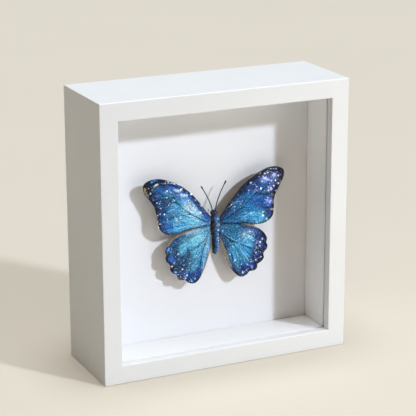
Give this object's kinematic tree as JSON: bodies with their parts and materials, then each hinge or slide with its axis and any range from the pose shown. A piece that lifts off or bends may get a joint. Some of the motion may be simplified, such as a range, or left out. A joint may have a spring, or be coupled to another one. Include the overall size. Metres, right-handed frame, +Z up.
{
  "type": "framed butterfly specimen",
  "caption": "Deep white shadow-box frame with a mitred face, clear pane and pale mount board, holding one spread blue butterfly on a pin; stands on its base or hangs.",
  "frame": {"origin": "centre of the frame's footprint, on the surface that the frame stands on", "axes": "+Z up, +X to the right for someone who looks at the glass, +Y from the glass to the back"},
  "size_m": [0.2, 0.071, 0.212],
  "materials": {
    "white_paint": "satin white paint over wood",
    "clear_glass": "clear polished",
    "liner": "matte white, wrapped strip",
    "mount_paper": "foam board with a matte white paper face",
    "fibreboard": "brown, hard pressed",
    "steel": "zinc plated",
    "body_chitin": "dark blue with a soft sheen",
    "antenna_chitin": "black",
    "wing_scales": "glittering blue scales with dark margins",
    "pin_steel": "polished"
  },
  "bodies": {
    "root": {"frame_bottom": "white_paint", "frame_top": "white_paint", "frame_left": "white_paint", "frame_right": "white_paint", "glass": "clear_glass", "spacer_bottom": "liner", "spacer_top": "liner", "spacer_left": "liner", "spacer_right": "liner", "mount_board": "mount_paper", "back_panel": "fibreboard", "tab_1": "steel", "tab_2": "steel", "tab_3": "steel", "tab_4": "steel", "tab_5": "steel", "tab_6": "steel", "tab_7": "steel", "tab_8": "steel", "hanger": "steel", "hanger_nail_left": "steel", "hanger_nail_right": "steel", "body": "body_chitin", "antenna_left": "antenna_chitin", "antenna_right": "antenna_chitin", "forewing_left": "wing_scales", "forewing_right": "wing_scales", "hindwing_left": "wing_scales", "hindwing_right": "wing_scales", "pin": "pin_steel"}
  },
  "joints": []
}
